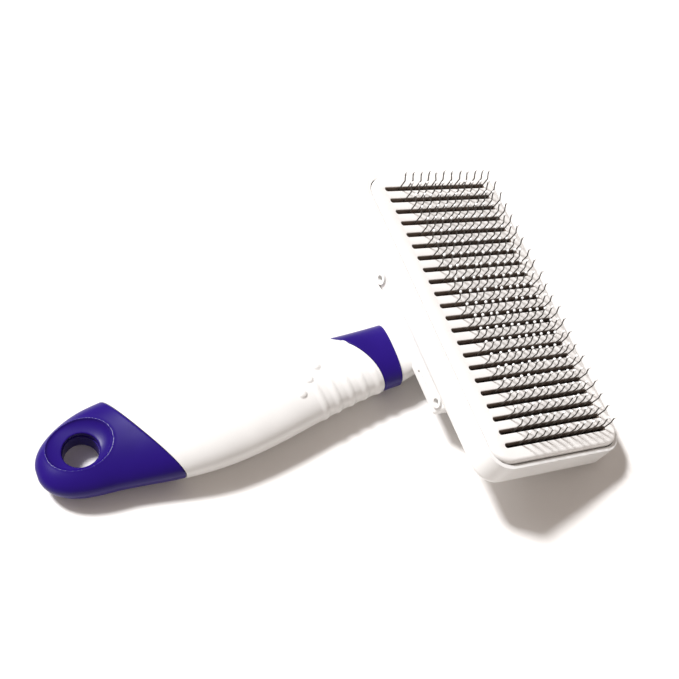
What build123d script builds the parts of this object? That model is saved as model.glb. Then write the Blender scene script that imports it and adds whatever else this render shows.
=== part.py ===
"""Self-cleaning slicker brush: a long T-shaped head on an ergonomic handle.

Twenty-two rows of bent steel wires with ball tips stand in a base board inside the
head's back shell. A slotted face plate lies over the board. A push button on the
head's back lifts the plate along the wires, and springs bring it back.

The brush is drawn as it rests on a table, wires up: the end cap and the head's far
long edge touch the table. +X runs along the handle towards the head, Y along the head.
Everything on the head is placed on the HEAD plane, whose x is across the head (away
from the handle), y along the head and z out of the face plate. Millimetres.
"""
from build123d import *
from math import cos, pi, radians, sin
import os

os.makedirs("parts", exist_ok=True)

# ---- overall layout -------------------------------------------------------------
LENGTH = 196.0            # end cap to the head's far edge
TILT = 22.0               # head's slope to the table
CAP_X = -LENGTH / 2       # tip of the end cap

# ---- wires and slots ------------------------------------------------------------
ROWS = 22
ROW_PITCH = 5.0
PINS = 12                 # wires in a row, two to a staple
PIN_PITCH = 3.66
PIN_OFFSET = 2.6          # middle of the wires, off the middle of the slots
WIRE_R = 0.2
KINK_HEIGHT = 4.6         # straight part of a wire above the plate
TIP_LENGTH = 5.8          # bent part of a wire
TIP_BEND = 27.0
KINK_RADIUS = 0.8
STAPLE_RADIUS = 0.26      # where the wire turns along the board's back
BALL_R = 0.52
SLOT_LENGTH = 47.8
SLOT_WIDTH = 1.75

# ---- head, heights are along the HEAD plane's normal from the plate's face -------
PLATE_WIDTH = 57.2
PLATE_LENGTH = 117.0
PLATE_THICK = 3.0
PLATE_CORNER = 6.5
PLATE_EDGE = 1.3          # rounding of the face's border
SHELL_GAP = 0.4
SHELL_WALL = 1.6
SHELL_DEPTH = 14.0
SHELL_FLOOR = 1.6
SHELL_ROUND = 3.0
RIM_DROP = 2.0            # rim below the plate's face
TRAVEL = 7.5              # of the plate and button
PAD_TOP = -3.8
PAD_THICK = 1.4
BOARD_THICK = 2.0
BACKING_THICK = 1.0
BOARD_MARGIN = 0.2
HOLE_SLACK = 0.03         # round the wires and the stems' tenons

# ---- push button, stems and springs ---------------------------------------------
BUTTON_W = -5.0           # across the head
BUTTON_WIDTH = 12.4
BUTTON_LENGTH = 31.0
BUTTON_FACE = -23.2
BUTTON_FLOOR = 2.0
BUTTON_WALL = 1.5
BUTTON_GAP = 0.35
RING_WALL = 1.6
RING_MOUTH = -18.5
STEM_R = 1.5
STEM_PITCH = 10.0
STEMS = 3
RUNNING_FIT = 0.08        # radial play of stems and posts in their guides
TENON_R = 1.0
TENON_LENGTH = 1.8
SPRING_R = 2.7
SPRING_WIRE_R = 0.35
SPRING_TURNS = 5
WASHER_R = 3.6
WASHER_THICK = 0.8
POST_Y = 56.3             # guide posts near the head's two ends
POST_R = 1.25
POST_END = -12.2
GUIDE_R = 2.4
GUIDE_TOP = -3.3

# ---- screws ---------------------------------------------------------------------
BASE_SCREW_W = 26.5
BASE_SCREW_Y = 45.0
BASE_SCREW_R = 0.9
BASE_SCREW_HEAD_R = 1.7
YOKE_SCREW_W = -21.0
YOKE_SCREW_YS = (-24.0, -13.0, 13.0, 24.0)
YOKE_SCREW_R = 1.4
YOKE_SCREW_HEAD_R = 2.6
HANDLE_SCREW_R = 1.3
HANDLE_SCREW_HEAD_R = 2.5
BOSS_R = 3.0

# ---- yoke, the T-shaped foot under the head --------------------------------------
YOKE_NEAR_W = -28.0       # side facing the handle
YOKE_FAR_W = -14.5
YOKE_HALF_TOP = 30.0      # half length at the head's back
YOKE_HALF_LOW = 28.0      # half length at its own back
YOKE_BACK = -22.0
YOKE_CORNER = 1.2
NECK_END_X = -31.5        # from the HEAD origin, as are the handle's other stations
NECK_DEEP_X = -22.0       # inside the foot

# ---- handle ---------------------------------------------------------------------
TIP_ROUND = 22.0          # length over which the tip rounds off
TIP_POWER = 2.2
SECTION_POWER = 2.4       # squareness of the handle's cross-section
SECTION_POINTS = 16
WALL = 4.2
SLEEVE = 2.2              # thickness of the collar round the handle's spigot
JOINT_GAP = 0.12
PART_Z = 6.0              # parting plane of handle body and base cover
COLLAR_X = -38.2          # collar's end face
SPIGOT_X = -40.2
HOLLOW_START_X = -124.0
HOLE_X = -152.4           # hang hole
HOLE_Y = -1.0
HOLE_R = 6.4
RING_BORE_R = 6.1
RING_OUTER_R = 7.4
RING_TOP = 8.2
RING_BOTTOM = 0.8
DISH_DEPTH = 1.5
TONGUE_WIDTH = 13.0
TONGUE_THICK = 7.0
TONGUE_LENGTH = 17.0
TANG_WIDTH = 10.4
TANG_THICK = 4.6
TANG_START_X = -84.0
TANG_Z = 9.0
RIBS = 5
RIB_PITCH = 5.5
RIB_FIRST_X = -70.0
RIB_WIDTH = 2.6
RIB_HEIGHT = 0.7
RIB_INNER_Y = 7.5
DOT_R = 1.15
HANDLE_SCREW_XS = (-112.0, -76.0, -54.0)

# ---- derived --------------------------------------------------------------------
tilt = radians(TILT)
SHELL_WIDTH = PLATE_WIDTH + 2 * (SHELL_GAP + SHELL_WALL)
SHELL_LENGTH = PLATE_LENGTH + 2 * (SHELL_GAP + SHELL_WALL)
PAD_BACK = PAD_TOP - PAD_THICK
BOARD_BACK = PAD_BACK - BOARD_THICK
STAPLE_BACK = BOARD_BACK - 2 * WIRE_R
BACKING_BACK = STAPLE_BACK - BACKING_THICK
FLOOR_TOP = -SHELL_DEPTH + SHELL_FLOOR
WASHER_BACK = BACKING_BACK - WASHER_THICK
BUTTON_INSIDE = BUTTON_FACE + BUTTON_FLOOR
BUTTON_SKIRT = WASHER_BACK - TRAVEL

# The rounded far edge touches the table; the rim's corner sets the overall length.
HEAD_Z = ((SHELL_WIDTH / 2 - SHELL_ROUND) * sin(tilt)
          + (SHELL_DEPTH - SHELL_ROUND) * cos(tilt) + SHELL_ROUND)
HEAD_X = LENGTH / 2 - (SHELL_WIDTH / 2 * cos(tilt) - RIM_DROP * sin(tilt))
HEAD = Plane(origin=(HEAD_X, 0, HEAD_Z), x_dir=(cos(tilt), 0, -sin(tilt)),
             z_dir=(sin(tilt), 0, cos(tilt)))


def on_head(across, along, height):
    """World position of a point given across, along and above the head."""
    return HEAD.from_local_coords((across, along, height))


def save(builder, name):
    builder.part.label = name
    export_step(builder.part, f"parts/{name}.step")


def row_y(row):
    return (row - (ROWS - 1) / 2) * ROW_PITCH


# ---- handle outline: half width, half thickness and centre at a station ----------
def blend(value, stations):
    """Smooth value between (station, size) pairs."""
    for (a, size_a), (b, size_b) in zip(stations, stations[1:]):
        if value <= b:
            t = max(0.0, (value - a) / (b - a))
            return size_a + (size_b - size_a) * (1 - cos(pi * t)) / 2
    return stations[-1][1]


def handle_section(s, inset=0.0):
    """Half width, half thickness, centre y and centre z, s mm from the tip."""
    u = min(1.0, s / TIP_ROUND)
    rounding = (1 - (1 - u) ** TIP_POWER) ** (1 / TIP_POWER)
    half_width = rounding * blend(s, [(0, 14.0), (55, 18.3), (131, 11.6)])
    half_thick = rounding * blend(s, [(0, 7.15), (20, 7.2), (62, 9.0), (131, 7.5)])
    centre_y = blend(s, [(0, -3.2), (26, -1.2), (62, -2.8), (131, 0.0)])
    centre_z = blend(s, [(0, 7.0), (20, 7.0), (62, 9.2), (131, 9.0)])
    return half_width - inset, half_thick - inset, centre_y, centre_z


def superellipse(half_width, half_thick):
    """Points round one cross-section, as (y, z)."""
    points = []
    for i in range(SECTION_POINTS):
        a = 2 * pi * i / SECTION_POINTS
        c, s = cos(a), sin(a)
        y = half_width * abs(c) ** (2 / SECTION_POWER) * (1 if c >= 0 else -1)
        z = half_thick * abs(s) ** (2 / SECTION_POWER) * (1 if s >= 0 else -1)
        points.append((y, z))
    return points


def handle_loft(stations, inset=0.0):
    """Solid through the handle's cross-sections at the given distances from the tip."""
    with BuildPart() as blank:
        for s in stations:
            half_width, half_thick, centre_y, centre_z = handle_section(s, inset)
            plane = Plane(origin=(CAP_X + s, centre_y, centre_z),
                          x_dir=(0, 1, 0), z_dir=(1, 0, 0))
            with BuildSketch(plane):
                with BuildLine():
                    Spline(*superellipse(half_width, half_thick), periodic=True)
                make_face()
        loft()
    return blank.part


def station(x):
    """Distance from the tip of a station given from the HEAD origin."""
    return x + HEAD_X - CAP_X


def world_x(x):
    return x + HEAD_X


OUTER = handle_loft([0.12, 1.2, 3.5, 7, 12, 18, 28, 42, 58, 78, 98, 116, station(COLLAR_X)])
SPIGOT = handle_loft([80, 98, 116, station(SPIGOT_X)], SLEEVE)
SLEEVE_BORE = handle_loft([78, 98, 116, station(COLLAR_X) + 1], SLEEVE - JOINT_GAP / 2)
HOLLOW = handle_loft([station(HOLLOW_START_X), 60, 78, 98, 116, station(SPIGOT_X) + 1], WALL)

# The cap's joint runs aslant over the handle, and the collar's edge is an arc.
CAP_SEAM_FAR = (world_x(-140.6), 14.8)
CAP_SEAM_NEAR = (world_x(-123.0), -17.8)
COLLAR_ARC = [(world_x(-60.4), 12.4), (world_x(-48.6), 0.0), (world_x(-45.2), -13.0)]
REACH = 40.0              # past the handle on every side


def cap_side(gap):
    """Sketch region on the cap's side of its seam."""
    far, near = CAP_SEAM_FAR, CAP_SEAM_NEAR
    slope = (near[0] - far[0]) / (near[1] - far[1])
    with BuildSketch(Plane.XY.offset(-REACH), mode=Mode.PRIVATE) as region:
        with BuildLine():
            Polyline((CAP_X - REACH, REACH), (far[0] + slope * (REACH - far[1]) - gap, REACH),
                     (near[0] - slope * (REACH + near[1]) - gap, -REACH),
                     (CAP_X - REACH, -REACH), close=True)
        make_face()
    return region.sketch


def collar_side(gap):
    """Sketch region on the collar's side of its edge."""
    points = [(x + gap, y) for x, y in COLLAR_ARC]
    with BuildSketch(Plane.XY.offset(-REACH), mode=Mode.PRIVATE) as region:
        with BuildLine():
            edge = ThreePointArc(*points)
            Polyline(edge @ 1, (points[2][0], -REACH), (world_x(REACH), -REACH),
                     (world_x(REACH), REACH), (points[0][0] - REACH / 2, REACH), edge @ 0)
        make_face()
    return region.sketch


# ---- end cap with its hang hole ---------------------------------------------------
HOLE_PLACE = (world_x(HOLE_X), HOLE_Y)
CAP_TOP = handle_section(station(HOLE_X))[3] + handle_section(station(HOLE_X))[1]
TONGUE_X = world_x(-124.0) - TONGUE_LENGTH

with BuildPart() as end_cap:
    add(OUTER)
    with BuildSketch(Plane.XY.offset(-REACH)):
        add(cap_side(JOINT_GAP))
    extrude(amount=2 * REACH, mode=Mode.INTERSECT)
    split(bisect_by=Plane.XY, keep=Keep.TOP)
    with BuildSketch(Plane.XY.offset(CAP_TOP - DISH_DEPTH)):
        with Locations(HOLE_PLACE):
            Ellipse(9.0, 7.4)
    with BuildSketch(Plane.XY.offset(CAP_TOP + 0.6)):
        with Locations((HOLE_PLACE[0] + 0.6, HOLE_PLACE[1] + 0.8)):
            Ellipse(11.6, 9.4)
    loft(mode=Mode.SUBTRACT)
    with BuildSketch(Plane.XY):
        with Locations(HOLE_PLACE):
            Circle(HOLE_R)
    extrude(amount=REACH, mode=Mode.SUBTRACT)
    with BuildSketch(Plane.XY):
        with Locations(HOLE_PLACE):
            Circle(RING_OUTER_R)
    extrude(amount=RING_TOP, mode=Mode.SUBTRACT)
    with BuildSketch(Plane.XY.offset(8.0 - TONGUE_THICK / 2 - JOINT_GAP / 2)):
        with Locations((TONGUE_X - JOINT_GAP, 0)):
            Rectangle(REACH, TONGUE_WIDTH + JOINT_GAP, align=(Align.MIN, Align.CENTER))
    extrude(amount=TONGUE_THICK + JOINT_GAP, mode=Mode.SUBTRACT)
save(end_cap, "end_cap")

with BuildPart() as hang_hole_ring:
    with BuildSketch(Plane.XY.offset(RING_BOTTOM)):
        with Locations(HOLE_PLACE):
            Circle(RING_OUTER_R)
            Circle(RING_BORE_R, mode=Mode.SUBTRACT)
    extrude(amount=RING_TOP - RING_BOTTOM)
    chamfer(hang_hole_ring.edges().filter_by(GeomType.CIRCLE).group_by(Axis.Z)[0], 0.3)
save(hang_hole_ring, "hang_hole_ring")

# ---- thumb collar ------------------------------------------------------------------
with BuildPart() as thumb_collar:
    add(OUTER)
    with BuildSketch(Plane.XY.offset(-REACH)):
        add(collar_side(JOINT_GAP))
    extrude(amount=2 * REACH, mode=Mode.INTERSECT)
    add(SLEEVE_BORE, mode=Mode.SUBTRACT)
save(thumb_collar, "thumb_collar")

# ---- handle body and base cover, hollow round the yoke's tang ---------------------------
DOT_PLACES = [(world_x(-75.6), -7.6), (world_x(-71.6), -3.2), (world_x(-67.4), 0.8)]

with BuildPart() as rib_blank:
    add(handle_loft([88, 98, 110, 124], -RIB_HEIGHT))
    with BuildSketch(Plane.XY.offset(-REACH)):
        for side in (-1, 1):
            for i in range(RIBS):
                with Locations((world_x(RIB_FIRST_X + i * RIB_PITCH), side * RIB_INNER_Y)):
                    Rectangle(RIB_WIDTH, 2 * REACH if side < 0 else REACH,
                              align=(Align.CENTER, Align.MAX if side < 0 else Align.MIN))
    extrude(amount=2 * REACH, mode=Mode.INTERSECT)

with BuildPart() as handle_blank:
    add(OUTER)
    with BuildSketch(Plane.XY.offset(-REACH)):
        add(cap_side(0))
        add(collar_side(0))
    extrude(amount=2 * REACH, mode=Mode.SUBTRACT)
    add(rib_blank.part)
    with BuildSketch(Plane.XY.offset(-REACH)):
        add(collar_side(0))
    extrude(amount=2 * REACH, mode=Mode.SUBTRACT)
    add(SPIGOT)
    with BuildSketch(Plane.XY.offset(8.0 - TONGUE_THICK / 2)):
        with Locations((TONGUE_X, 0)):
            Rectangle(REACH, TONGUE_WIDTH, align=(Align.MIN, Align.CENTER))
    extrude(amount=TONGUE_THICK)
    add(HOLLOW, mode=Mode.SUBTRACT)

with BuildPart() as handle_body:
    add(handle_blank.part)
    split(bisect_by=Plane.XY.offset(PART_Z), keep=Keep.TOP)
    for place in DOT_PLACES:
        half_width, half_thick, centre_y, centre_z = handle_section(place[0] - CAP_X)
        rise = (1 - (abs(place[1]) / half_width) ** SECTION_POWER) ** (1 / SECTION_POWER)
        with Locations((place[0], place[1], centre_z + half_thick * rise)):
            Sphere(DOT_R)
    for x in HANDLE_SCREW_XS:
        half_thick, centre_z = handle_section(station(x))[1::2]
        with BuildSketch(Plane.XY.offset(PART_Z)):
            with Locations((world_x(x), 0)):
                Circle(BOSS_R)
        extrude(amount=centre_z + half_thick - 2 - PART_Z)
        with BuildSketch(Plane.XY.offset(PART_Z)):
            with Locations((world_x(x), 0)):
                Circle(HANDLE_SCREW_R)
        extrude(amount=6.0, mode=Mode.SUBTRACT)
save(handle_body, "handle_body")

with BuildPart() as handle_base_cover:
    add(handle_blank.part)
    split(bisect_by=Plane.XY.offset(PART_Z - JOINT_GAP), keep=Keep.BOTTOM)
    split(bisect_by=Plane.XY, keep=Keep.TOP)
    for x in HANDLE_SCREW_XS:
        low = handle_section(station(x))[3] - handle_section(station(x))[1]
        with BuildSketch(Plane.XY.offset(low + 1.5)):
            with Locations((world_x(x), 0)):
                Circle(BOSS_R)
        extrude(amount=PART_Z - JOINT_GAP - low - 1.5)
        with BuildSketch(Plane.XY):
            with Locations((world_x(x), 0)):
                Circle(HANDLE_SCREW_R + HOLE_SLACK)
        extrude(amount=REACH, mode=Mode.SUBTRACT)
        with BuildSketch(Plane.XY):
            with Locations((world_x(x), 0)):
                Circle(HANDLE_SCREW_HEAD_R + JOINT_GAP)
        extrude(amount=low + 2.0, mode=Mode.SUBTRACT)
save(handle_base_cover, "handle_base_cover")

with BuildPart() as handle_screws:
    for x in HANDLE_SCREW_XS:
        low = handle_section(station(x))[3] - handle_section(station(x))[1]
        with BuildSketch(Plane.XY.offset(low + 0.5)):
            with Locations((world_x(x), 0)):
                Circle(HANDLE_SCREW_HEAD_R)
        extrude(amount=1.5)
        with BuildSketch(Plane.XY.offset(low + 2.0)):
            with Locations((world_x(x), 0)):
                Circle(HANDLE_SCREW_R)
        extrude(amount=PART_Z + 5.5 - low - 2.0)
        with BuildSketch(Plane.XY.offset(low + 0.5)):
            with Locations((world_x(x), 0)):
                Rectangle(2.8, 0.7)
                Rectangle(0.7, 2.8)
        extrude(amount=0.8, mode=Mode.SUBTRACT)
save(handle_screws, "handle_screws")

# ---- yoke: tang in the handle, neck, and the foot screwed to the head's back ------------
NECK_SECTIONS = [(COLLAR_X, 11.0, 6.9, 9.0), (NECK_END_X, 9.8, 6.0, 10.4), (NECK_DEEP_X, 8.6, 4.4, 12.6)]
LUG_PLACES = (-25.5, 25.5)

with BuildPart() as neck_yoke:
    for x, half_width, half_thick, z in NECK_SECTIONS:
        with BuildSketch(Plane(origin=(world_x(x), 0, z), x_dir=(0, 1, 0), z_dir=(1, 0, 0))):
            with BuildLine():
                Spline(*superellipse(half_width, half_thick), periodic=True)
            make_face()
    loft()
    with BuildSketch(Plane(origin=(world_x(TANG_START_X), 0, TANG_Z), x_dir=(0, 1, 0), z_dir=(1, 0, 0))):
        RectangleRounded(TANG_WIDTH, TANG_THICK, 1.2)
    extrude(amount=COLLAR_X - TANG_START_X)
    for offset, half_length in ((YOKE_BACK, YOKE_HALF_LOW), (-SHELL_DEPTH, YOKE_HALF_TOP)):
        with BuildSketch(HEAD.offset(offset)):
            with Locations(((YOKE_NEAR_W + YOKE_FAR_W) / 2, 0)):
                RectangleRounded(YOKE_FAR_W - YOKE_NEAR_W, 2 * half_length, YOKE_CORNER)
    loft()
    # everything above the head's back is the back shell's
    with BuildSketch(HEAD.offset(-SHELL_DEPTH)):
        Rectangle(SHELL_WIDTH, SHELL_LENGTH)
    extrude(amount=REACH, mode=Mode.SUBTRACT)
    # a shallow groove and two moulded lugs on the side facing the handle
    side_plane = Plane(origin=on_head(YOKE_NEAR_W, 0, 0), x_dir=HEAD.y_dir, z_dir=-HEAD.x_dir)
    with BuildSketch(side_plane):
        for side in (-1, 1):
            with Locations((side * 18.0, 19.6)):
                Rectangle(13.0, 0.9)
    extrude(amount=-0.6, mode=Mode.SUBTRACT)
    with BuildSketch(side_plane):
        with Locations(*((y, 17.0) for y in LUG_PLACES)):
            Circle(2.3)
    extrude(amount=0.9)
    with BuildSketch(side_plane.offset(0.9)):
        with Locations(*((y, 17.0) for y in LUG_PLACES)):
            Circle(1.2)
    extrude(amount=-2.6, mode=Mode.SUBTRACT)
    for y in YOKE_SCREW_YS:
        with BuildSketch(HEAD.offset(YOKE_BACK)):
            with Locations((YOKE_SCREW_W, y)):
                Circle(YOKE_SCREW_R + HOLE_SLACK)
        extrude(amount=-YOKE_BACK - SHELL_DEPTH, mode=Mode.SUBTRACT)
        with BuildSketch(HEAD.offset(YOKE_BACK)):
            with Locations((YOKE_SCREW_W, y)):
                Circle(YOKE_SCREW_HEAD_R + JOINT_GAP)
        extrude(amount=2.0, mode=Mode.SUBTRACT)
    for x in HANDLE_SCREW_XS[1:]:
        with BuildSketch(Plane.XY):
            with Locations((world_x(x), 0)):
                Circle(BOSS_R + JOINT_GAP)
        extrude(amount=REACH, mode=Mode.SUBTRACT)
save(neck_yoke, "neck_yoke")

with BuildPart() as yoke_screws:
    for y in YOKE_SCREW_YS:
        with BuildSketch(HEAD.offset(YOKE_BACK + 0.4)):
            with Locations((YOKE_SCREW_W, y)):
                Circle(YOKE_SCREW_HEAD_R)
        extrude(amount=1.6)
        with BuildSketch(HEAD.offset(YOKE_BACK + 2.0)):
            with Locations((YOKE_SCREW_W, y)):
                Circle(YOKE_SCREW_R)
        extrude(amount=9.6)
        with BuildSketch(HEAD.offset(YOKE_BACK + 0.4)):
            with Locations((YOKE_SCREW_W, y)):
                Rectangle(3.0, 0.7)
                Rectangle(0.7, 3.0)
        extrude(amount=0.8, mode=Mode.SUBTRACT)
save(yoke_screws, "yoke_screws")

# ---- back shell ------------------------------------------------------------------------
CAVITY = (PLATE_WIDTH + 2 * SHELL_GAP, PLATE_LENGTH + 2 * SHELL_GAP)
BASE_SCREW_PLACES = [(w, y) for w in (-BASE_SCREW_W, BASE_SCREW_W)
                     for y in (-BASE_SCREW_Y, 0.0, BASE_SCREW_Y)]
YOKE_SCREW_PLACES = [(YOKE_SCREW_W, y) for y in YOKE_SCREW_YS]
POST_PLACES = [(0.0, -POST_Y), (0.0, POST_Y)]
STEM_PLACES = [(BUTTON_W, (i - (STEMS - 1) / 2) * STEM_PITCH) for i in range(STEMS)]

with BuildPart() as back_shell:
    with BuildSketch(HEAD.offset(-SHELL_DEPTH)):
        RectangleRounded(SHELL_WIDTH, SHELL_LENGTH, PLATE_CORNER + SHELL_GAP + SHELL_WALL)
    extrude(amount=SHELL_DEPTH - RIM_DROP)
    fillet(back_shell.faces().sort_by(SortBy.AREA)[-2:].sort_by(Axis.Z)[0].edges(), SHELL_ROUND)
    with BuildSketch(HEAD.offset(FLOOR_TOP)):
        RectangleRounded(*CAVITY, PLATE_CORNER + SHELL_GAP)
    extrude(amount=SHELL_DEPTH, mode=Mode.SUBTRACT)
    with BuildSketch(HEAD.offset(RING_MOUTH)):
        with Locations((BUTTON_W, 0)):
            SlotOverall(BUTTON_LENGTH + 2 * (BUTTON_GAP + RING_WALL),
                        BUTTON_WIDTH + 2 * (BUTTON_GAP + RING_WALL), rotation=90)
    extrude(amount=FLOOR_TOP - RING_MOUTH)
    with BuildSketch(HEAD.offset(RING_MOUTH)):
        with Locations((BUTTON_W, 0)):
            SlotOverall(BUTTON_LENGTH + 2 * BUTTON_GAP, BUTTON_WIDTH + 2 * BUTTON_GAP, rotation=90)
    extrude(amount=-RING_MOUTH, mode=Mode.SUBTRACT)
    with BuildSketch(HEAD.offset(FLOOR_TOP)):
        with Locations(*BASE_SCREW_PLACES):
            Circle(2.2)
        with Locations(*YOKE_SCREW_PLACES):
            Circle(BOSS_R)
    extrude(amount=BACKING_BACK - FLOOR_TOP)
    with BuildSketch(HEAD.offset(FLOOR_TOP)):
        with Locations(*POST_PLACES):
            Circle(GUIDE_R)
    extrude(amount=GUIDE_TOP - FLOOR_TOP)
    with BuildSketch(HEAD.offset(GUIDE_TOP)):
        with Locations(*POST_PLACES):
            Circle(POST_R + RUNNING_FIT)
    extrude(amount=FLOOR_TOP - GUIDE_TOP, mode=Mode.SUBTRACT)
    with BuildSketch(HEAD.offset(BACKING_BACK)):
        with Locations(*BASE_SCREW_PLACES):
            Circle(BASE_SCREW_R)
    extrude(amount=-3.4, mode=Mode.SUBTRACT)
    with BuildSketch(HEAD.offset(-SHELL_DEPTH)):
        with Locations(*YOKE_SCREW_PLACES):
            Circle(YOKE_SCREW_R)
    extrude(amount=4.0, mode=Mode.SUBTRACT)
save(back_shell, "back_shell")

# ---- pin base: rubber pad, board and backing plate ----------------------------------------
BOARD_SIZE = (CAVITY[0] - 2 * BOARD_MARGIN, 2 * (POST_Y - GUIDE_R - BOARD_MARGIN))


def base_layer(top, thick, size, wire_slack, stem_hole_r, screw_hole_r):
    """One flat layer of the pin base with its wire, stem and screw holes."""
    with BuildPart() as layer:
        with BuildSketch(HEAD.offset(top)):
            Rectangle(*size)
            with Locations(*STEM_PLACES):
                Circle(stem_hole_r, mode=Mode.SUBTRACT)
            if screw_hole_r:
                with Locations(*BASE_SCREW_PLACES):
                    Circle(screw_hole_r, mode=Mode.SUBTRACT)
            if wire_slack is not None:
                with Locations((PIN_OFFSET, 0)):
                    with GridLocations(PIN_PITCH, ROW_PITCH, PINS, ROWS):
                        Circle(WIRE_R + wire_slack, mode=Mode.SUBTRACT)
        extrude(amount=-thick)
    return layer


PAD_SIZE = (2 * (BASE_SCREW_W - BASE_SCREW_HEAD_R - 0.3), BOARD_SIZE[1])
save(base_layer(PAD_TOP, PAD_THICK, PAD_SIZE, HOLE_SLACK, STEM_R + 0.4, 0), "base_pad")
save(base_layer(PAD_BACK, BOARD_THICK, BOARD_SIZE, HOLE_SLACK, STEM_R + RUNNING_FIT,
                BASE_SCREW_R + JOINT_GAP), "base_board")
save(base_layer(STAPLE_BACK, BACKING_THICK, BOARD_SIZE, None, STEM_R + RUNNING_FIT,
                BASE_SCREW_R + JOINT_GAP), "backing_plate")

with BuildPart() as base_screws:
    with BuildSketch(HEAD.offset(PAD_BACK)):
        with Locations(*BASE_SCREW_PLACES):
            Circle(BASE_SCREW_HEAD_R)
    extrude(amount=1.2)
    with BuildSketch(HEAD.offset(PAD_BACK)):
        with Locations(*BASE_SCREW_PLACES):
            Circle(BASE_SCREW_R)
    extrude(amount=BACKING_BACK - 3.2 - PAD_BACK)
    with BuildSketch(HEAD.offset(PAD_BACK + 1.2)):
        with Locations(*BASE_SCREW_PLACES):
            Rectangle(2.0, 0.5)
    extrude(amount=-0.5, mode=Mode.SUBTRACT)
save(base_screws, "base_screws")

# ---- wires: each staple is one bent wire with two pins ---------------------------------------
PIN_PLANE = Plane(origin=HEAD.origin, x_dir=HEAD.x_dir, z_dir=-HEAD.y_dir)
bend = radians(TIP_BEND)
TIP_ACROSS = -TIP_LENGTH * sin(bend)
TIP_HEIGHT = KINK_HEIGHT + TIP_LENGTH * cos(bend)
STAPLE_LEVEL = BOARD_BACK - WIRE_R

with BuildPart() as staple:
    with BuildLine(PIN_PLANE) as staple_path:
        FilletPolyline((TIP_ACROSS, TIP_HEIGHT), (0, KINK_HEIGHT), (0, STAPLE_LEVEL),
                       (PIN_PITCH, STAPLE_LEVEL), (PIN_PITCH, KINK_HEIGHT),
                       (PIN_PITCH + TIP_ACROSS, TIP_HEIGHT),
                       radius=[KINK_RADIUS, STAPLE_RADIUS, STAPLE_RADIUS, KINK_RADIUS])
    with BuildSketch(Plane(origin=staple_path.wire() @ 0, z_dir=staple_path.wire() % 0)):
        Circle(WIRE_R)
    sweep()

FIRST_PIN = PIN_OFFSET - (PINS - 1) / 2 * PIN_PITCH
for row in range(ROWS):
    with BuildPart() as wire_row:
        shifts = [HEAD.x_dir * (FIRST_PIN + 2 * i * PIN_PITCH) + HEAD.y_dir * row_y(row)
                  for i in range(PINS // 2)]
        with Locations(*shifts):
            add(staple.part)
    save(wire_row, f"wire_row_{row + 1:02d}")

with BuildPart() as tip_ball:
    with BuildSketch(PIN_PLANE):
        with Locations((TIP_ACROSS, TIP_HEIGHT)):
            Circle(BALL_R)
            Rectangle(BALL_R, 4 * BALL_R, align=(Align.MAX, Align.CENTER), mode=Mode.SUBTRACT)
    revolve(axis=Axis(on_head(TIP_ACROSS, 0, TIP_HEIGHT), HEAD.z_dir))
    tip_direction = HEAD.z_dir * -cos(bend) + HEAD.x_dir * sin(bend)
    with BuildSketch(Plane(origin=on_head(TIP_ACROSS, 0, TIP_HEIGHT), z_dir=tip_direction)):
        Circle(WIRE_R + HOLE_SLACK)
    extrude(amount=2 * BALL_R, mode=Mode.SUBTRACT)

with BuildPart() as wire_tips:
    shifts = [HEAD.x_dir * (FIRST_PIN + i * PIN_PITCH) + HEAD.y_dir * row_y(row)
              for i in range(PINS) for row in range(ROWS)]
    with Locations(*shifts):
        add(tip_ball.part)
save(wire_tips, "wire_tips")

# ---- cleaning plate ----------------------------------------------------------------------
with BuildPart() as cleaning_plate:
    with BuildSketch(HEAD.offset(-PLATE_THICK)):
        RectangleRounded(PLATE_WIDTH, PLATE_LENGTH, PLATE_CORNER)
    extrude(amount=PLATE_THICK)
    fillet(cleaning_plate.faces().sort_by(SortBy.AREA)[-2:].sort_by(Axis.Z)[-1].edges(), PLATE_EDGE)
    with BuildSketch(HEAD.offset(-PLATE_THICK)):
        with GridLocations(0, ROW_PITCH, 1, ROWS):
            SlotOverall(SLOT_LENGTH, SLOT_WIDTH)
    extrude(amount=PLATE_THICK, mode=Mode.SUBTRACT)
    with BuildSketch(HEAD.offset(POST_END)):
        with Locations(*POST_PLACES):
            Circle(POST_R)
    extrude(amount=-PLATE_THICK - POST_END)
    with BuildSketch(HEAD.offset(-PLATE_THICK)):
        with Locations(*STEM_PLACES):
            Circle(TENON_R + HOLE_SLACK)
    extrude(amount=TENON_LENGTH + 0.2, mode=Mode.SUBTRACT)
save(cleaning_plate, "cleaning_plate")

# ---- push button, its stems, springs and washers --------------------------------------------
with BuildPart() as push_button:
    with BuildSketch(HEAD.offset(BUTTON_FACE)):
        with Locations((BUTTON_W, 0)):
            SlotOverall(BUTTON_LENGTH, BUTTON_WIDTH, rotation=90)
    extrude(amount=BUTTON_SKIRT - BUTTON_FACE)
    fillet(push_button.faces().sort_by(Axis.Z)[0].edges(), 1.2)
    with BuildSketch(HEAD.offset(BUTTON_INSIDE)):
        with Locations((BUTTON_W, 0)):
            SlotOverall(BUTTON_LENGTH - 2 * BUTTON_WALL, BUTTON_WIDTH - 2 * BUTTON_WALL, rotation=90)
    extrude(amount=REACH, mode=Mode.SUBTRACT)
    with BuildSketch(HEAD.offset(BUTTON_FACE)):
        for i in range(3):
            with Locations((BUTTON_W + (i - 1) * 3.0, 0)):
                SlotOverall(16.0, 1.0, rotation=90)
    extrude(amount=0.5, mode=Mode.SUBTRACT)
    with BuildSketch(HEAD.offset(BUTTON_INSIDE)):
        with Locations(*STEM_PLACES):
            Circle(TENON_R + HOLE_SLACK)
    extrude(amount=-1.2, mode=Mode.SUBTRACT)
save(push_button, "push_button")

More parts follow.
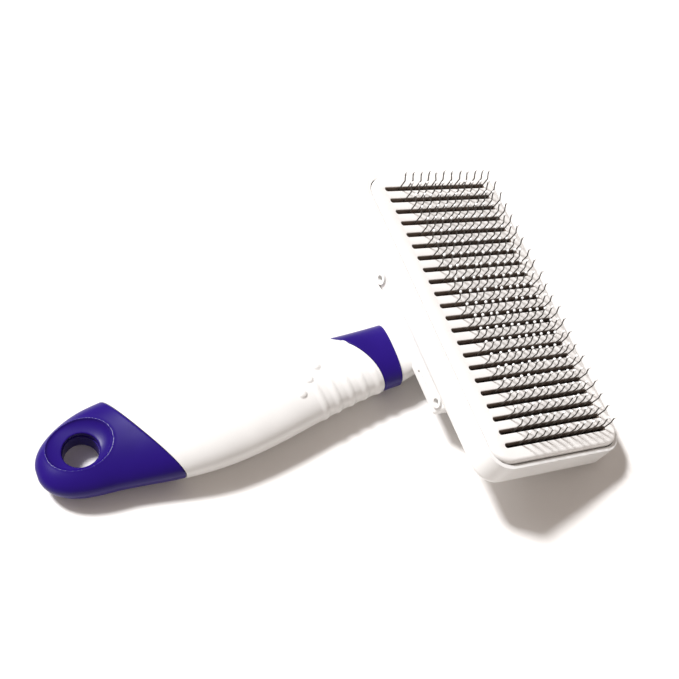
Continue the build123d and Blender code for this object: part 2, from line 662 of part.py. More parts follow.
with BuildPart() as lifter_stems:
    with BuildSketch(HEAD.offset(BUTTON_INSIDE)):
        with Locations(*STEM_PLACES):
            Circle(STEM_R)
    extrude(amount=-PLATE_THICK - BUTTON_INSIDE)
    with BuildSketch(HEAD.offset(BUTTON_INSIDE - 1.1)):
        with Locations(*STEM_PLACES):
            Circle(TENON_R)
    extrude(amount=TENON_LENGTH + 1.1 - PLATE_THICK - BUTTON_INSIDE)
save(lifter_stems, "lifter_stems")

with BuildPart() as spring_washers:
    with BuildSketch(HEAD.offset(WASHER_BACK)):
        with Locations(*STEM_PLACES):
            Circle(WASHER_R)
            Circle(STEM_R + 0.2, mode=Mode.SUBTRACT)
    extrude(amount=WASHER_THICK)
save(spring_washers, "spring_washers")

SPRING_LENGTH = WASHER_BACK - BUTTON_INSIDE - 2 * SPRING_WIRE_R - 0.1
spring_pitch = SPRING_LENGTH / SPRING_TURNS
for i, (across, along) in enumerate(STEM_PLACES):
    with BuildPart() as return_spring:
        start = Plane(origin=on_head(across, along, BUTTON_INSIDE + SPRING_WIRE_R + 0.05),
                      x_dir=HEAD.x_dir, z_dir=HEAD.z_dir)
        with BuildLine() as coil:
            add(Helix(spring_pitch, SPRING_LENGTH, SPRING_R, mode=Mode.PRIVATE).locate(start.location))
        with BuildSketch(Plane(origin=coil.edge() @ 0, z_dir=coil.edge() % 0)):
            Circle(SPRING_WIRE_R)
        sweep(is_frenet=True)
    save(return_spring, f"return_spring_{i + 1}")
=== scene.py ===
"""Looks for the self-cleaning slicker brush: skins, bristles, materials, light and camera."""

import random
from math import cos, pi, radians, sin, sqrt

import bmesh
import bpy
from mathutils import Matrix, Vector, geometry


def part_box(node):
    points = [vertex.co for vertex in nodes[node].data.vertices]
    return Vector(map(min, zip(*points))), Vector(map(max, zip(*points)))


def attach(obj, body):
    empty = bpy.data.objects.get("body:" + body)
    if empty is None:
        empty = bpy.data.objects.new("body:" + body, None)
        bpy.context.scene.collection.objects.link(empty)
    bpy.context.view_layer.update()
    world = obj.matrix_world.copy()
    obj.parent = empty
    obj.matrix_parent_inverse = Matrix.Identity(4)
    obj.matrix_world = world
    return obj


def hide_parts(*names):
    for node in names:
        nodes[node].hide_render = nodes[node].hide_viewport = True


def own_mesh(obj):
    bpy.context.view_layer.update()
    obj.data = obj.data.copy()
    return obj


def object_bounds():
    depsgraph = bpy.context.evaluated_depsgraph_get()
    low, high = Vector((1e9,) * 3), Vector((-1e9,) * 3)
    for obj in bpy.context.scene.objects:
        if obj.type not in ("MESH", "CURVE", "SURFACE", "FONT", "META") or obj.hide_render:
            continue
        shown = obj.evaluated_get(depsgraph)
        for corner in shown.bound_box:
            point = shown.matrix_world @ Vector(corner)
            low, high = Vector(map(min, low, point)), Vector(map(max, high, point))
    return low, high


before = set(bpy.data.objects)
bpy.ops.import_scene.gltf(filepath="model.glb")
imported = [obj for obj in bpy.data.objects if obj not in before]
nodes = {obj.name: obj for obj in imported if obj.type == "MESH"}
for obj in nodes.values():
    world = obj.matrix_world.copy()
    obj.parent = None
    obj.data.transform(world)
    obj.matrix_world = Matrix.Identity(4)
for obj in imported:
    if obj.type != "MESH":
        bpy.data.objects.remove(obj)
cad_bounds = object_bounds()
rng = random.Random(11)
MM = 0.001
BRUSH = "brush_body"
SLIDE = "cleaning_slide"

# ---- places from the CAD frame (all in mm from here on) --------------------------------
TILT = radians(22.0)
LENGTH = 2 * cad_bounds[1].x / MM
CAP_X = -LENGTH / 2
SHELL_WIDTH = 61.2
SHELL_DEPTH = 14
SHELL_ROUND = 3           # rounding of the shell's back edge, which stands on the table
RIM_DROP = 2              # the shell's rim below the head's face
HEAD_Z = ((SHELL_WIDTH / 2 - SHELL_ROUND) * sin(TILT)
          + (SHELL_DEPTH - SHELL_ROUND) * cos(TILT) + SHELL_ROUND)
HEAD_X = LENGTH / 2 - (SHELL_WIDTH / 2 * cos(TILT) - RIM_DROP * sin(TILT))
ACROSS = Vector((cos(TILT), 0, -sin(TILT)))
ALONG = Vector((0, 1, 0))
UP = Vector((sin(TILT), 0, cos(TILT)))
HEAD = Vector((HEAD_X, 0, HEAD_Z))


def on_head(w, y, n):
    """A point given across, along and above the head's face, in mm."""
    return HEAD + ACROSS * w + ALONG * y + UP * n


# ---- mesh helpers ----------------------------------------------------------------------
def piece(name, verts, faces, material, body=BRUSH):
    """A mesh piece from points in mm, riding on a CAD body."""
    mesh = bpy.data.meshes.new(name)
    mesh.from_pydata([Vector(v) * MM for v in verts], [], faces)
    mesh.validate()
    bm = bmesh.new()
    bm.from_mesh(mesh)
    bmesh.ops.remove_doubles(bm, verts=bm.verts, dist=1e-7)
    bmesh.ops.recalc_face_normals(bm, faces=bm.faces)
    bm.to_mesh(mesh)
    bm.free()
    obj = bpy.data.objects.new(name, mesh)
    bpy.context.scene.collection.objects.link(obj)
    mesh.shade_smooth()
    if material:
        mesh.materials.append(material)
    if body:
        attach(obj, body)
    return obj


def stack(rings, close_start=True, close_end=True):
    """Skin through rings with the same number of points."""
    count = len(rings[0])
    verts = [p for ring in rings for p in ring]
    faces = []
    for k in range(len(rings) - 1):
        for i in range(count):
            j = (i + 1) % count
            faces.append((k * count + i, k * count + j, (k + 1) * count + j, (k + 1) * count + i))
    for wanted, k in ((close_start, 0), (close_end, len(rings) - 1)):
        if wanted:
            verts.append(sum((Vector(p) for p in rings[k]), Vector()) / count)
            for i in range(count):
                faces.append((k * count + i, k * count + (i + 1) % count, len(verts) - 1))
    return verts, faces


def apply_modifiers(obj):
    """Fixes an object's modifiers into its mesh."""
    depsgraph = bpy.context.evaluated_depsgraph_get()
    mesh = bpy.data.meshes.new_from_object(obj.evaluated_get(depsgraph))
    obj.modifiers.clear()
    obj.data = mesh


def split_by_angle(obj, degrees):
    """Smooth shading with the sharper edges split."""
    obj.data.shade_smooth()
    modifier = obj.modifiers.new("split", "EDGE_SPLIT")
    modifier.split_angle = radians(degrees)
    apply_modifiers(obj)


# ---- materials -------------------------------------------------------------------------
def surface(name, color, roughness, spread=0.05, shade=0.04, patch=60.0, grain=1500.0,
            bump=0.05, metallic=0.0, coat=0.0, specular=0.5, edge=0.0):
    """Procedural surface: colour and roughness drift in patches, and fine grain as bump."""
    material = bpy.data.materials.new(name)
    material.use_nodes = True
    tree = material.node_tree
    tree.nodes.clear()
    link = tree.links.new
    out = tree.nodes.new("ShaderNodeOutputMaterial")
    shader = tree.nodes.new("ShaderNodeBsdfPrincipled")
    link(shader.outputs["BSDF"], out.inputs["Surface"])
    shader.inputs["Metallic"].default_value = metallic
    shader.inputs["Coat Weight"].default_value = coat
    shader.inputs["Coat Roughness"].default_value = 0.25
    shader.inputs["Specular IOR Level"].default_value = specular
    place = tree.nodes.new("ShaderNodeTexCoord")
    patches = tree.nodes.new("ShaderNodeTexNoise")
    patches.inputs["Scale"].default_value = patch
    patches.inputs["Detail"].default_value = 5.0
    link(place.outputs["Object"], patches.inputs["Vector"])
    ramp = tree.nodes.new("ShaderNodeValToRGB")
    ramp.color_ramp.elements[0].position = 0.3
    ramp.color_ramp.elements[1].position = 0.7
    ramp.color_ramp.elements[0].color = [c * (1 - shade) for c in color] + [1]
    ramp.color_ramp.elements[1].color = [min(1, c * (1 + shade)) for c in color] + [1]
    link(patches.outputs["Fac"], ramp.inputs["Fac"])
    link(ramp.outputs["Color"], shader.inputs["Base Color"])
    rough = tree.nodes.new("ShaderNodeMapRange")
    rough.inputs["To Min"].default_value = roughness - spread
    rough.inputs["To Max"].default_value = roughness + spread
    link(patches.outputs["Fac"], rough.inputs["Value"])
    link(rough.outputs["Result"], shader.inputs["Roughness"])
    fine = tree.nodes.new("ShaderNodeTexNoise")
    fine.inputs["Scale"].default_value = grain
    fine.inputs["Detail"].default_value = 3.0
    link(place.outputs["Object"], fine.inputs["Vector"])
    relief = tree.nodes.new("ShaderNodeBump")
    relief.inputs["Strength"].default_value = bump
    relief.inputs["Distance"].default_value = 0.1 * MM
    link(fine.outputs["Fac"], relief.inputs["Height"])
    if edge:
        bevel = tree.nodes.new("ShaderNodeBevel")
        bevel.samples = 6
        bevel.inputs["Radius"].default_value = edge * MM
        link(bevel.outputs["Normal"], relief.inputs["Normal"])
    link(relief.outputs["Normal"], shader.inputs["Normal"])
    return material


WHITE = (0.77, 0.76, 0.745)
white = surface("white_plastic", WHITE, 0.34, coat=0.15)
white_edged = surface("white_plastic_edged", WHITE, 0.36, coat=0.1, edge=0.35)
plate_white = surface("plate_plastic", (0.86, 0.84, 0.82), 0.38, coat=0.1)
# Painted shade: the slots' inner walls are the plate's white plastic, coloured dark brown here to
# stand in for the shade deep inside the slots.
slot_painted_shade = surface("slot_painted_shade", (0.24, 0.19, 0.16), 0.5, shade=0.25, grain=2500.0, specular=0.4)
PURPLE = (0.0145, 0.0035, 0.140)
purple = surface("purple_plastic", PURPLE, 0.30, shade=0.08, specular=0.18)
purple_edged = surface("purple_edged", PURPLE, 0.30, shade=0.08, specular=0.18,
                       edge=0.4)
rubber = surface("pad_rubber", (0.022, 0.017, 0.014), 0.7, shade=0.2, grain=2500.0, bump=0.3)
board = surface("board_plastic", (0.03, 0.026, 0.022), 0.6, edge=0.2)
wire = surface("drawn_wire", (0.10, 0.09, 0.08), 0.42, shade=0.15, grain=4000.0, bump=0.08,
               metallic=1.0)
bead = surface("bead_epoxy", (0.95, 0.95, 0.95), 0.2, coat=0.4, grain=3000.0, bump=0.04)
zinc = surface("zinc_steel", (0.55, 0.55, 0.56), 0.3, metallic=1.0, edge=0.15, grain=3000.0)
spring_steel = surface("spring_steel", (0.5, 0.5, 0.5), 0.28, metallic=1.0, grain=4000.0)

CAD_LOOKS = {
    "neck_yoke": white_edged, "back_shell": white_edged, "hang_hole_ring": purple_edged,
    "base_pad": rubber, "base_board": board, "backing_plate": board, "base_screws": zinc,
    "handle_screws": zinc, "yoke_screws": zinc, "spring_washers": zinc,
    "lifter_stems": spring_steel, "push_button": purple_edged,
}
for node, look in CAD_LOOKS.items():
    for material_slot in nodes[node].material_slots:
        material_slot.material = look


# ---- handle outline, with the same numbers as the CAD model's --------------------------
HALF_WIDTHS = [(0, 14.0), (55, 18.3), (131, 11.6)]          # station from the tip, value
HALF_THICKS = [(0, 7.15), (20, 7.2), (62, 9.0), (131, 7.5)]
CENTRE_YS = [(0, -3.2), (26, -1.2), (62, -2.8), (131, 0.0)]
CENTRE_ZS = [(0, 7.0), (20, 7.0), (62, 9.2), (131, 9.0)]
TIP_ROUNDING, TIP_POWER = 22.0, 2.2
SKIN_POWER = 2.4                                            # 2 is an ellipse, more is squarer


def blend(value, stations):
    """Smooth value between the stations on each side."""
    for (a, size_a), (b, size_b) in zip(stations, stations[1:]):
        if value <= b:
            t = max(0.0, (value - a) / (b - a))
            return size_a + (size_b - size_a) * (1 - cos(pi * t)) / 2
    return stations[-1][1]


def section(s):
    """Half width, half thickness, centre y and z, s mm from the tip."""
    u = min(1.0, max(0.0, s / TIP_ROUNDING))
    rounding = (1 - (1 - u) ** TIP_POWER) ** (1 / TIP_POWER)
    return (rounding * blend(s, HALF_WIDTHS), rounding * blend(s, HALF_THICKS),
            blend(s, CENTRE_YS), blend(s, CENTRE_ZS))


def skin(s, a):
    """Point on the handle's skin, s mm from the tip at angle a round it."""
    half_width, half_thick, centre_y, centre_z = section(s)
    c, d = cos(a), sin(a)
    y = centre_y + half_width * abs(c) ** (2 / SKIN_POWER) * (1 if c >= 0 else -1)
    z = centre_z + half_thick * abs(d) ** (2 / SKIN_POWER) * (1 if d >= 0 else -1)
    return Vector((CAP_X + s, y, z))


def outward(s, a):
    """Unit normal of the skin."""
    e = 0.004
    along = skin(s + 0.05, a) - skin(max(0.01, s - 0.05), a)
    around = skin(s, a + e) - skin(s, a - e)
    n = around.cross(along)
    n.normalize()
    centre = Vector((CAP_X + s, section(s)[2], section(s)[3]))
    return n if n.dot(skin(s, a) - centre) > 0 else -n


def world_x(x):
    """Place along the brush of a point x mm from the head's centre."""
    return x + HEAD_X


SEAM_FAR = (world_x(-140.6), 14.8)
SEAM_NEAR = (world_x(-123.0), -17.8)
ARC = [(world_x(-60.4), 12.4), (world_x(-48.6), 0.0), (world_x(-45.2), -13.0)]
COLLAR_END = world_x(-38.2)


def seam_x(y):
    """The cap's aslant seam."""
    slope = (SEAM_NEAR[0] - SEAM_FAR[0]) / (SEAM_NEAR[1] - SEAM_FAR[1])
    return SEAM_FAR[0] + slope * (y - SEAM_FAR[1])


def circle_through(p, q, r):
    """Centre and radius of the circle through three points."""
    ax, ay, bx, by, cx, cy = *p, *q, *r
    d = 2 * (ax * (by - cy) + bx * (cy - ay) + cx * (ay - by))
    a2, b2, c2 = ax * ax + ay * ay, bx * bx + by * by, cx * cx + cy * cy
    x = (a2 * (by - cy) + b2 * (cy - ay) + c2 * (ay - by)) / d
    y = (a2 * (cx - bx) + b2 * (ax - cx) + c2 * (bx - ax)) / d
    return x, y, sqrt((ax - x) ** 2 + (ay - y) ** 2)


ARC_CENTRE_X, ARC_CENTRE_Y, ARC_R = circle_through(*ARC)


def arc_x(y):
    """The collar's curved edge."""
    side = 1 if ARC[1][0] > ARC_CENTRE_X else -1
    return ARC_CENTRE_X + side * sqrt(max(0.0, ARC_R ** 2 - (y - ARC_CENTRE_Y) ** 2))


def meet(edge, a, gap=0.0):
    """Station where the skin line at angle a meets an edge."""
    s = 60.0
    for _ in range(25):
        s = edge(skin(s, a).y) - CAP_X + gap
    return s


AROUND = 300
ANGLES = [2 * pi * i / AROUND for i in range(AROUND)]
RIBS, RIB_START, RIB_PITCH, RIB_SLANT = 5, -70.0, 5.5, 0.22
RIB_HALF_WIDTH, RIB_HEIGHT = 1.9, 0.62
DOTS = ((-75.6, -7.6), (-71.6, -3.2), (-67.4, 0.8))
DOT_R, DOT_HEIGHT = 1.45, 0.75


def relief_at(p, a):
    """Height of ribs and dots on the handle."""
    x, y = p.x - HEAD_X, p.y
    height = 0.0
    reach = abs(y)
    fade = min(1.0, max(0.0, (reach - 2.5) / 5.0))
    fade = fade * fade * (3 - 2 * fade)
    under = min(1.0, max(0.0, (p.z - 3.0) / 7.0))
    for i in range(RIBS):
        middle = RIB_START + RIB_PITCH * i + RIB_SLANT * (reach - 9.0)
        t = (x - middle) / RIB_HALF_WIDTH
        if abs(t) < 1:
            height += RIB_HEIGHT * fade * under * (0.5 + 0.5 * cos(pi * t))
    for dx, dy in DOTS:
        if p.z > 9:
            r = sqrt((x - dx) ** 2 + (y - dy) ** 2) / DOT_R
            if r < 1:
                height += DOT_HEIGHT * sqrt(1 - r * r)
    return height


def band(start, end, rows, roll_start, roll_end, relief=None, power=1.0, depth=1.4, r=0.32):
    """Rings of skin between two edges, each rolled over and taken inwards."""
    lines = []
    for a in ANGLES:
        s0, s1 = start(a), end(a)
        line = []
        if roll_start:
            n = outward(s0 + r, a)
            line.append(skin(s0 + r, a) - n * depth + Vector((-r, 0, 0)))
            for k in range(5):
                t = pi / 2 * k / 5
                line.append(skin(s0 + r, a) - n * (r - r * sin(t)) - Vector((r * cos(t), 0, 0)))
        a0, a1 = s0 + (r if roll_start else 0), s1 - (r if roll_end else 0)
        for k in range(rows + 1):
            s = a0 + (a1 - a0) * (k / rows) ** power
            p = skin(s, a)
            if relief:
                p = p + outward(s, a) * relief(p, a)
            line.append(p)
        if roll_end:
            n = outward(s1 - r, a)
            for k in range(1, 6):
                t = pi / 2 * k / 5
                line.append(skin(s1 - r, a) - n * (r - r * cos(t)) + Vector((r * sin(t), 0, 0)))
            line.append(skin(s1 - r, a) - n * depth + Vector((r, 0, 0)))
        for p in line:
            p.z = max(p.z, 0.0)
        lines.append(line)
    return [[lines[i][k] for i in range(AROUND)] for k in range(len(lines[0]))]


# ---- end cap ---------------------------------------------------------------------------
RING_LOW, RING_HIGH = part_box("hang_hole_ring")
HOLE = (RING_LOW + RING_HIGH) / 2 / MM
CAP_TOP = section(HOLE.x - CAP_X)[3] + section(HOLE.x - CAP_X)[1]
RING_TOP = RING_HIGH.z / MM
RING_SEAT_R, HOLE_R = 7.45, 6.4

DISH_X, DISH_Y, DISH_RX, DISH_RY = HOLE.x, HOLE.y + 1.6, 11.3, 9.2
DISH_DEPTH, DISH_LIP, DISH_LOWEST = 3.6, 0.16, 7.5
rings = band(lambda a: 0.13, lambda a: meet(seam_x, a, -0.06), 200, False, True, power=1.7)
for ring in rings:
    for p in ring:
        rho = sqrt(((p.x - DISH_X) / DISH_RX) ** 2 + ((p.y - DISH_Y) / DISH_RY) ** 2)
        if p.z > DISH_LOWEST and rho < 1:
            p.z -= DISH_DEPTH * (1 - rho ** 2) ** 0.62
        elif p.z > DISH_LOWEST:
            p.z += DISH_LIP * max(0.0, 1 - (rho - 1) / 0.07)
cap = piece("cap_skin", *stack(rings), purple)


def circle(x, y, z, r, count=120):
    """Level ring of points."""
    return [Vector((x + r * cos(2 * pi * i / count), y + r * sin(2 * pi * i / count), z))
            for i in range(count)]


cutter_rings = [circle(HOLE.x, HOLE.y, z, r) for z, r in
                ((-3, RING_SEAT_R), (RING_TOP + 0.05, RING_SEAT_R),
                 (RING_TOP + 0.05, HOLE_R), (CAP_TOP + 4, HOLE_R))]
cutter = piece("hole_cutter", *stack(cutter_rings), None, body=None)
modifier = cap.modifiers.new("hole", "BOOLEAN")
modifier.operation = "DIFFERENCE"
modifier.object = cutter
modifier.solver = "EXACT"
apply_modifiers(cap)
bpy.data.objects.remove(cutter)
remesh = cap.modifiers.new("remesh", "REMESH")
remesh.mode = "VOXEL"
remesh.voxel_size = 0.24 * MM
remesh.use_smooth_shade = True
soften = cap.modifiers.new("soften", "SMOOTH")
soften.factor = 0.5
soften.iterations = 6
apply_modifiers(cap)
if not cap.data.materials:
    cap.data.materials.append(purple)
cap.data.shade_smooth()
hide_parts("end_cap")

# ---- handle halves ---------------------------------------------------------------------
PART_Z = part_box("handle_body")[0].z / MM
body_rings = band(lambda a: meet(seam_x, a, 0.06), lambda a: meet(arc_x, a, -0.06), 300,
                  True, True, relief=relief_at)


def half(name, keep_top, node):
    """One half of the handle, cut at the parting plane with a short lip."""
    obj = piece(name, *stack(body_rings, False, False), white)
    bm = bmesh.new()
    bm.from_mesh(obj.data)
    level = (PART_Z + (0.03 if keep_top else -0.09)) * MM
    bmesh.ops.bisect_plane(bm, geom=bm.verts[:] + bm.edges[:] + bm.faces[:], dist=1e-8,
                           plane_co=(0, 0, level), plane_no=(0, 0, 1),
                           clear_inner=keep_top, clear_outer=not keep_top)
    rim = [e for e in bm.edges if e.is_boundary
           and all(abs(v.co.z - level) < 1e-6 for v in e.verts)]
    made = bmesh.ops.extrude_edge_only(bm, edges=rim)["geom"]
    for v in (g for g in made if isinstance(g, bmesh.types.BMVert)):
        centre_y = section(v.co.x / MM - CAP_X)[2] * MM
        v.co.y = centre_y + (v.co.y - centre_y) * 0.9
    bmesh.ops.recalc_face_normals(bm, faces=bm.faces)
    bm.to_mesh(obj.data)
    bm.free()
    split_by_angle(obj, 60)
    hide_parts(node)


half("handle_skin", True, "handle_body")
half("cover_skin", False, "handle_base_cover")

# ---- thumb collar ----------------------------------------------------------------------
rings = band(lambda a: meet(arc_x, a, 0.06), lambda a: COLLAR_END - CAP_X, 60, True, True,
             depth=2.1, r=0.55)
collar = piece("collar_skin", *stack(rings, False, False), purple)
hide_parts("thumb_collar")

# ---- cleaning plate --------------------------------------------------------------------
PLATE_W, PLATE_L, PLATE_R, PLATE_T = 57.2, 117.0, 6.5, 3.0
ROWS, PITCH, SLOT_L, SLOT_W = 22, 5.0, 47.8, 1.75


def rounded(half_w, half_l, r, n, per_corner=14):
    """Rounded rectangle on the head, at height n."""
    points = []
    for sx, sy, start in ((1, 1, 0), (-1, 1, pi / 2), (-1, -1, pi), (1, -1, 3 * pi / 2)):
        for i in range(per_corner + 1):
            t = start + pi / 2 * i / per_corner
            points.append(on_head(sx * (half_w - r) + r * cos(t),
                                  sy * (half_l - r) + r * sin(t), n))
    return points


def fill(outer, holes):
    """Flat face with holes, as triangles over the given loops of points."""
    loops = [outer] + holes
    flat = [[(p.dot(ACROSS), p.dot(ALONG), 0.0) for p in loop] for loop in loops]
    points = [p for loop in loops for p in loop]
    return points, [tuple(t) for t in geometry.tessellate_polygon(flat)]


def slot_ring(grow, n):
    """Outline of one slot at the head's middle, made larger by grow, at height n."""
    return rounded(SLOT_L / 2 + grow, SLOT_W / 2 + grow, SLOT_W / 2 + grow - 0.001, n, 7)


def inside_slots(place):
    """Whether a point in metres lies among the slots and not on the plate's border."""
    p = place / MM - HEAD
    return abs(p.dot(ACROSS)) < SLOT_L / 2 + 1 and abs(p.y) < PLATE_L / 2 - 3


def moved(ring, y):
    """Ring of points taken y mm along the head."""
    return [p + ALONG * y for p in ring]


verts, faces = [], []


def merge(part):
    """Adds points and faces to the mesh being made."""
    base = len(verts)
    verts.extend(part[0])
    faces.extend(tuple(i + base for i in f) for f in part[1])


EDGE, LIP = 1.3, 0.28
row_ys = [(i - (ROWS - 1) / 2) * PITCH for i in range(ROWS)]
top_outline = rounded(PLATE_W / 2 - EDGE, PLATE_L / 2 - EDGE, PLATE_R - EDGE, 0)
low_outline = rounded(PLATE_W / 2 - 0.2, PLATE_L / 2 - 0.2, PLATE_R - 0.2, -PLATE_T)
merge(fill(top_outline, [moved(slot_ring(LIP, 0), y) for y in row_ys]))
merge(fill(low_outline, [moved(slot_ring(0, -PLATE_T), y) for y in row_ys]))
border = []
for k in range(9):
    t = pi / 2 * k / 8
    inset = EDGE * (1 - sin(t))
    border.append(rounded(PLATE_W / 2 - inset, PLATE_L / 2 - inset, PLATE_R - inset,
                          -EDGE * (1 - cos(t))))
border.append(rounded(PLATE_W / 2, PLATE_L / 2, PLATE_R, -PLATE_T + 0.2))
border.append(low_outline)
merge(stack(border, False, False))
for y in row_ys:
    lip = []
    for k in range(5):
        t = pi / 2 * k / 4
        lip.append(moved(slot_ring(LIP * (1 - sin(t)), -LIP * (1 - cos(t))), y))
    merge(stack(lip, False, False))
for y in row_ys:
    merge(stack([moved(slot_ring(0, n), y) for n in (-LIP, -PLATE_T)], False, False))
plate = piece("plate_skin", verts, faces, plate_white, SLIDE)
# Below the lip, the slot walls get the dark painted-shade material instead of the plate's white,
# so the slots look shaded inside.
plate.data.materials.append(slot_painted_shade)
for face in plate.data.polygons:
    middle = (face.center / MM - HEAD).dot(UP)
    if -PLATE_T < middle < -LIP and abs(face.normal.dot(UP)) < 0.1 and inside_slots(face.center):
        face.material_index = 1
split_by_angle(plate, 40)
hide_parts("cleaning_plate")

verts, faces = [], []
POST_Y, POST_STEPS = 56.3, 24
POST_OUTLINE = ((1.25, -2.9), (1.25, -11.9), (1.15, -12.1), (0.95, -12.2))   # radius, height
for y in (-POST_Y, POST_Y):
    posts = []
    for r, n in POST_OUTLINE:
        posts.append([on_head(r * cos(2 * pi * i / POST_STEPS),
                              y + r * sin(2 * pi * i / POST_STEPS), n)
                      for i in range(POST_STEPS)])
    merge(stack(posts))
posts = piece("plate_posts", verts, faces, plate_white, SLIDE)
split_by_angle(posts, 50)

# ---- bristle wires and their beads -----------------------------------------------------
PINS, PIN_PITCH, PIN_OFFSET, WIRE_R = 12, 3.66, 2.6, 0.24
KINK, TIP, BEND, BEAD_R = 4.6, 5.8, radians(27.0), 0.52
BOARD_BACK = -7.2
WIRE_FOOT = -3.0          # the plate's underside, where a wire starts to lean
FAN = 0.3                 # rows lean out a little towards the head's two ends


def wire_line(w, y):
    """Centreline of one wire, a little uneven as hand-set wires are."""
    lean = max(-0.5, min(0.5, rng.gauss(0, 0.28)))
    sway = max(-0.13, min(0.13, rng.gauss(0, 0.1))) + FAN * y / row_ys[-1]
    kink = KINK + max(-0.3, min(0.15, rng.gauss(-0.05, 0.12)))
    bend = BEND + radians(max(-1, min(6, rng.gauss(1, 2.4))))
    points = [(w, y, BOARD_BACK), (w, y, WIRE_FOOT)]
    for k in range(1, 7):
        t = k / 6
        points.append((w + lean * t, y + sway * t * t * 0.6,
                       WIRE_FOOT + (kink - 0.5 - WIRE_FOOT) * t))
    x0, y0, n0 = points[-1]
    for k in range(1, 6):
        turn = bend * k / 5
        x0 -= 0.2 * sin(turn)
        n0 += 0.2 * cos(turn)
        points.append((x0, y0, n0))
    tip = TIP - 0.5 - rng.uniform(0, 0.5)
    for k in range(1, 6):
        t = k / 5
        points.append((x0 - tip * t * sin(bend) - 0.12 * sin(pi * t), y0 + sway * t,
                       n0 + tip * t * cos(bend)))
    return [on_head(*p) for p in points], Vector((-sin(bend), 0, cos(bend)))


def tube(points, r, beside=ALONG, count=8):
    """Round wire along points, never in line with the direction beside."""
    rings = []
    for k, p in enumerate(points):
        a = points[max(0, k - 1)]
        b = points[min(len(points) - 1, k + 1)]
        d = (b - a).normalized()
        side = d.cross(beside).normalized()
        other = d.cross(side)
        rings.append([p + (side * cos(2 * pi * i / count) + other * sin(2 * pi * i / count)) * r
                      for i in range(count)])
    return stack(rings)


BEAD_STEPS = 14
BEAD_OUTLINE = ((-1.30, 0.42), (-1.12, 0.55), (-0.86, 0.72), (-0.5, 0.90), (-0.1, 1.0),
                (0.3, 0.96), (0.62, 0.78), (0.84, 0.54), (0.95, 0.28))   # place along it, radius


def bead_at(centre, direction, r):
    """Slightly long bead with a small collar of resin where the wire enters."""
    d = (ACROSS * direction.x + UP * direction.z).normalized()
    side = d.cross(ALONG).normalized()
    other = d.cross(side)
    rings = []
    for t, q in BEAD_OUTLINE:
        rings.append([centre + d * (t * r) + (side * cos(2 * pi * i / BEAD_STEPS)
                                              + other * sin(2 * pi * i / BEAD_STEPS)) * (q * r)
                      for i in range(BEAD_STEPS)])
    return stack(rings)


bead_verts, bead_faces = [], []
for row, y in enumerate(row_ys):
    verts, faces = [], []
    for pin in range(PINS):
        w = PIN_OFFSET + (pin - (PINS - 1) / 2) * PIN_PITCH
        points, direction = wire_line(w, y)
        merge(tube(points, WIRE_R))
        ball = bead_at(points[-1], direction, BEAD_R * rng.uniform(0.9, 1.06))
        base = len(bead_verts)
        bead_verts.extend(ball[0])
        bead_faces.extend(tuple(i + base for i in f) for f in ball[1])
    obj = piece(f"wires_{row + 1:02d}", verts, faces, wire)
    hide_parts(f"wire_row_{row + 1:02d}")
beads = piece("wire_beads", bead_verts, bead_faces, bead)
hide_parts("wire_tips")

# ---- return springs, pressed against their washers -------------------------------------
SPRING_R, SPRING_WIRE_R, SPRING_TURNS, TURN_STEPS = 2.7, 0.35, 5, 24
BUTTON_INSIDE, SPRING_GAP, TRAVEL = -21.2, 0.05, 7.5
for number in (1, 2, 3):
    low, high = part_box(f"return_spring_{number}")
    middle = (low + high) / 2 / MM - HEAD
    start = BUTTON_INSIDE + SPRING_WIRE_R + SPRING_GAP
    length = 2 * (middle.dot(UP) - start)
    points = []
    for k in range(SPRING_TURNS * TURN_STEPS + 1):
        t = 2 * pi * k / TURN_STEPS
        points.append(on_head(middle.dot(ACROSS) + SPRING_R * cos(t), middle.y + SPRING_R * sin(t),
                              start + length * k / (SPRING_TURNS * TURN_STEPS)))
    coil = piece(f"spring_coil_{number}", *tube(points, SPRING_WIRE_R, UP), spring_steel)
    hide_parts(f"return_spring_{number}")
    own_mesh(coil)

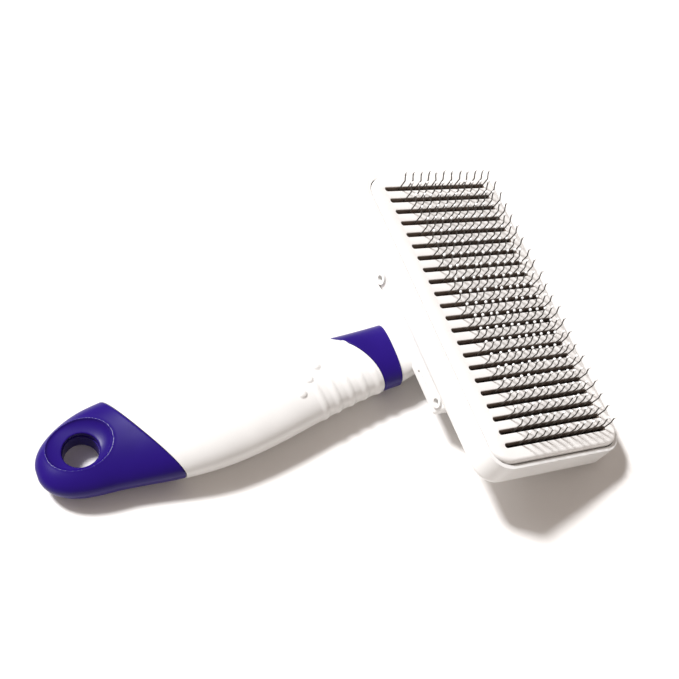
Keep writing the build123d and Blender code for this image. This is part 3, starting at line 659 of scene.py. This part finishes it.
# ---- table, light and camera -----------------------------------------------------------
TABLE = 3                 # half its side, in metres
floor_mesh = bpy.data.meshes.new("table")
corners = [(-TABLE, -TABLE, 0), (TABLE, -TABLE, 0), (TABLE, TABLE, 0), (-TABLE, TABLE, 0)]
floor_mesh.from_pydata(corners, [], [(0, 1, 2, 3)])
floor = bpy.data.objects.new("table", floor_mesh)
bpy.context.scene.collection.objects.link(floor)
floor_mesh.materials.append(surface("table_paint", (0.84, 0.82, 0.80), 0.75, shade=0.01,
                                    patch=4.0, grain=300.0, specular=0.2))

world = bpy.data.worlds.new("studio")
bpy.context.scene.world = world
world.use_nodes = True
world.node_tree.nodes["Background"].inputs["Color"].default_value = (1.0, 0.88, 0.80, 1)
world.node_tree.nodes["Background"].inputs["Strength"].default_value = 0.38


def lamp(name, kind, energy, place, size, color=(1, 1, 1)):
    """Light aimed at the origin. A sun's size is its angle, any other light's is its diameter."""
    data = bpy.data.lights.new(name, kind)
    data.energy = energy
    data.color = color
    if kind == "SUN":
        data.angle = size
    else:
        data.shape = "DISK"
        data.size = size
    obj = bpy.data.objects.new(name, data)
    bpy.context.scene.collection.objects.link(obj)
    obj.location = place
    obj.rotation_euler = (-Vector(place)).to_track_quat("-Z", "Y").to_euler()


lamp("key", "SUN", 4.6, (-0.58, 0.86, 1.32), radians(10), (0.98, 0.985, 1.0))
lamp("softbox", "AREA", 1.5, (-0.55, 0.45, 0.8), 0.5)

FOCAL_PIXELS, IMAGE_PIXELS = 1400, 679
camera_data = bpy.data.cameras.new("camera")
camera_data.sensor_width = 36.0
camera_data.lens = camera_data.sensor_width * FOCAL_PIXELS / IMAGE_PIXELS
camera_data.clip_start = 0.01
camera = bpy.data.objects.new("camera", camera_data)
bpy.context.scene.collection.objects.link(camera)
right = Vector((0.920855, -0.367409, 0.130522))
ahead = Vector((0.274466, 0.373056, -0.886283))
up = right.cross(ahead)
turn = Matrix((right, up, -ahead)).transposed().to_4x4()
place = Matrix.Translation((-0.120458, -0.175615, 0.453188))
camera.matrix_world = place @ turn
bpy.context.scene.camera = camera
bpy.context.scene.view_settings.view_transform = "Standard"
